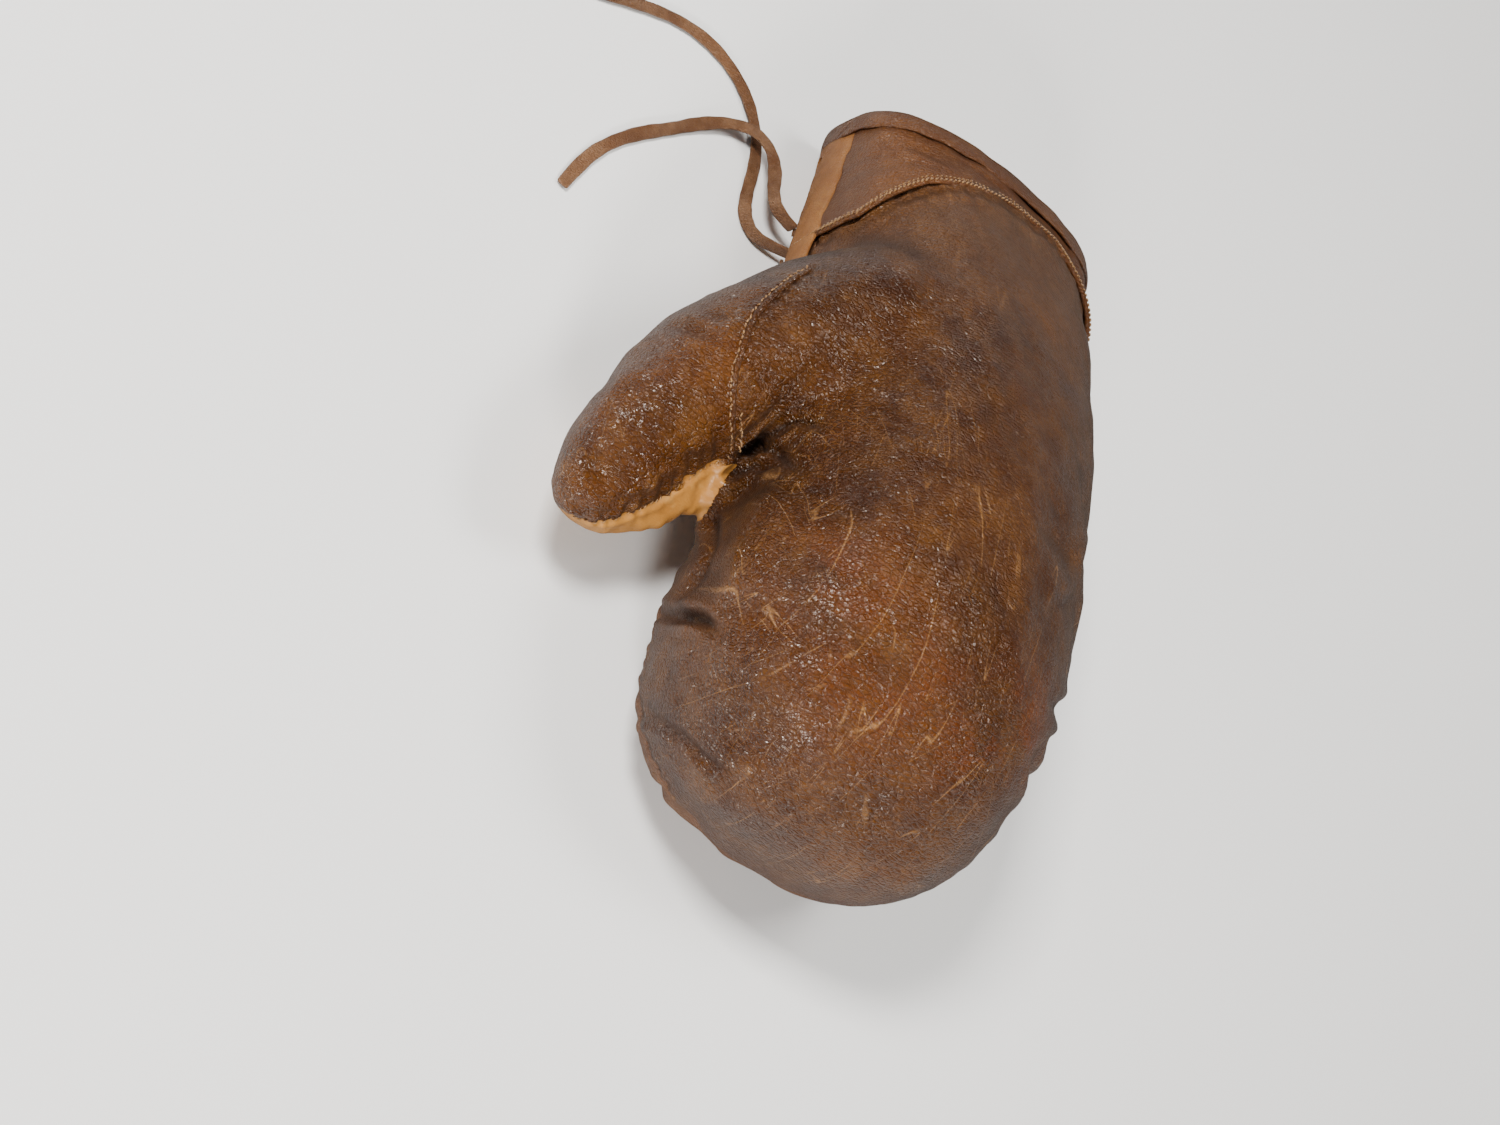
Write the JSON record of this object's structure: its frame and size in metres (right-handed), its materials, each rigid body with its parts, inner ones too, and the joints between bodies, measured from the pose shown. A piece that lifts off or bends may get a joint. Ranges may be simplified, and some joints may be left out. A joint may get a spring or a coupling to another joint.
{
  "type": "boxing glove",
  "caption": "Left-hand lace-up boxing glove in worn brown leather, with a padded fist and thumb, a laced slit cuff and free lace ends.",
  "frame": {"origin": "on the floor under the middle of the glove, its free lace ends left out", "axes": "+Y out of the cuff's mouth, +Z from the palm to the back of the hand, thumb on the -X side"},
  "size_m": [0.2829, 0.2903, 0.1146],
  "materials": {
    "leather_brown": "semi-gloss, worn",
    "leather_palm": "satin, worn",
    "leather_tan": "matte",
    "leather_trim": "satin",
    "lace_leather": "matte",
    "foam": "matte",
    "lining_cloth": "matte"
  },
  "bodies": {
    "hand": {"cuff_band": "leather_brown", "back_panel": "leather_brown", "palm_panel": "leather_palm", "thumb_root_panel": "leather_brown", "cuff_seam_welt": "leather_trim", "cuff_binding": "leather_trim", "facing_thumb_side": "leather_tan", "facing_little_side": "leather_tan", "wrist_pad": "foam", "back_pad": "foam", "palm_pad": "foam", "thumb_root_pad": "foam", "hand_lining": "lining_cloth", "lacing": "lace_leather", "lace_end_a": "lace_leather", "lace_end_b": "lace_leather"},
    "fist": {"knuckle_panel": "leather_brown", "finger_panel": "leather_palm", "knuckle_pad": "foam", "finger_pad": "foam", "finger_lining": "lining_cloth", "grip_roll": "foam"},
    "thumb": {"thumb_outer_panel": "leather_brown", "thumb_inner_panel": "leather_tan", "thumb_back_pad": "foam", "thumb_front_pad": "foam", "thumb_lining": "lining_cloth"},
    "corner_thumb": {"corner_thumb_side": "leather_brown", "corner_facing_thumb_side": "leather_tan", "corner_binding_thumb_side": "leather_trim"},
    "corner_little": {"corner_little_side": "leather_brown", "corner_facing_little_side": "leather_tan", "corner_binding_little_side": "leather_trim"},
    "tongue": {"tongue": "lining_cloth"}
  },
  "joints": [
    {"name": "fist_flex", "type": "hinge", "parent": "hand", "child": "fist", "pos_m": [0.0267, -0.0456, 0.074], "axis": [1, 0, 0], "range_deg": [-8, 15]},
    {"name": "thumb_swing", "type": "hinge", "parent": "hand", "child": "thumb", "pos_m": [-0.0463, 0.0114, 0], "axis": [0, 0, 1], "range_deg": [-12, 12]},
    {"name": "corner_fold_thumb_side", "type": "hinge", "parent": "hand", "child": "corner_thumb", "pos_m": [-0.0113, 0.0994, -0.002], "axis": [-0.5015, 0.7702, 0.3941], "range_deg": [0, 25]},
    {"name": "corner_fold_little_side", "type": "hinge", "parent": "hand", "child": "corner_little", "pos_m": [-0.0053, 0.0994, 0.0015], "axis": [-0.7578, -0.6517, 0.0318], "range_deg": [0, 25]},
    {"name": "tongue_lift", "type": "hinge", "parent": "hand", "child": "tongue", "pos_m": [-0.0023, 0.0559, 0.0112], "axis": [1, 0, 0], "range_deg": [0, 18]}
  ]
}
